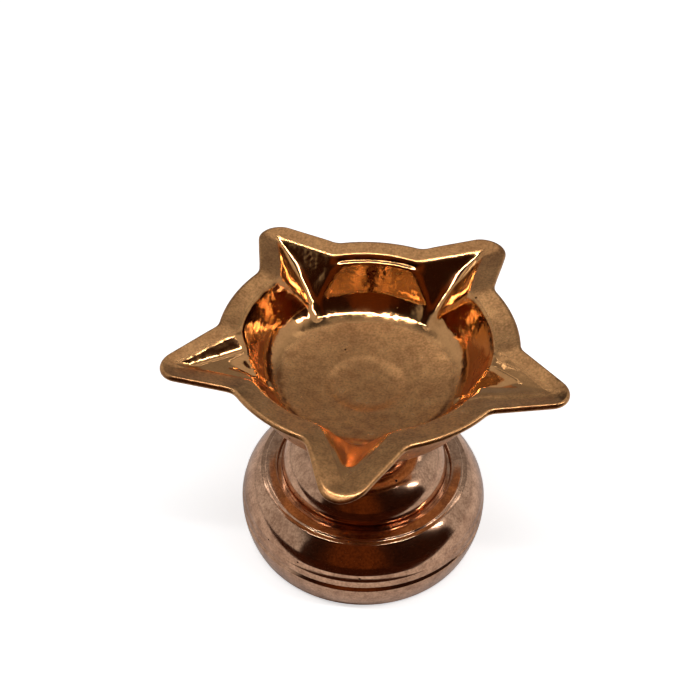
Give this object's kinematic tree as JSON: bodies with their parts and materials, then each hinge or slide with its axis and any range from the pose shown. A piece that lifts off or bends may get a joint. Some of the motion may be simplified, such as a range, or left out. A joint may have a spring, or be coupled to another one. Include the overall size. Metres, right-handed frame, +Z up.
{
  "type": "oil lamp",
  "caption": "Star-shaped metal oil lamp bowl with V-shaped wick spouts, screwed on to a waisted stem on a round hollow foot.",
  "frame": {"origin": "middle of the foot's annular face, on the lamp's axis", "axes": "+Z up along the lamp's axis, one spout points to -Y"},
  "size_m": [0.0726, 0.0694, 0.0506],
  "materials": {
    "cast_copper": "buffed cast copper alloy, satin with bright edges",
    "stud_brass": "cut thread, bright",
    "washer_fibre": "red-brown vulcanised fibre, matte",
    "nut_steel": "plain steel nut"
  },
  "bodies": {
    "pedestal": {"foot": "cast_copper", "stem": "cast_copper", "stem_nut": "nut_steel"},
    "washer": {"seat_washer": "washer_fibre"},
    "bowl": {"lamp_bowl": "cast_copper", "bowl_stud": "stud_brass"}
  },
  "joints": [
    {"name": "bowl_rise", "type": "slide", "parent": "pedestal", "child": "washer", "axis": [0, 0, 1], "range_m": [0, 0.0075]},
    {"name": "bowl_turn", "type": "hinge", "parent": "washer", "child": "bowl", "pos_m": [0, 0, 0.0286], "axis": [0, 0, 1], "range_deg": [0, 2160]}
  ],
  "couplings": [
    {"joint": "bowl_rise", "follows": "bowl_turn", "m_per_rad": 0.00019894}
  ]
}
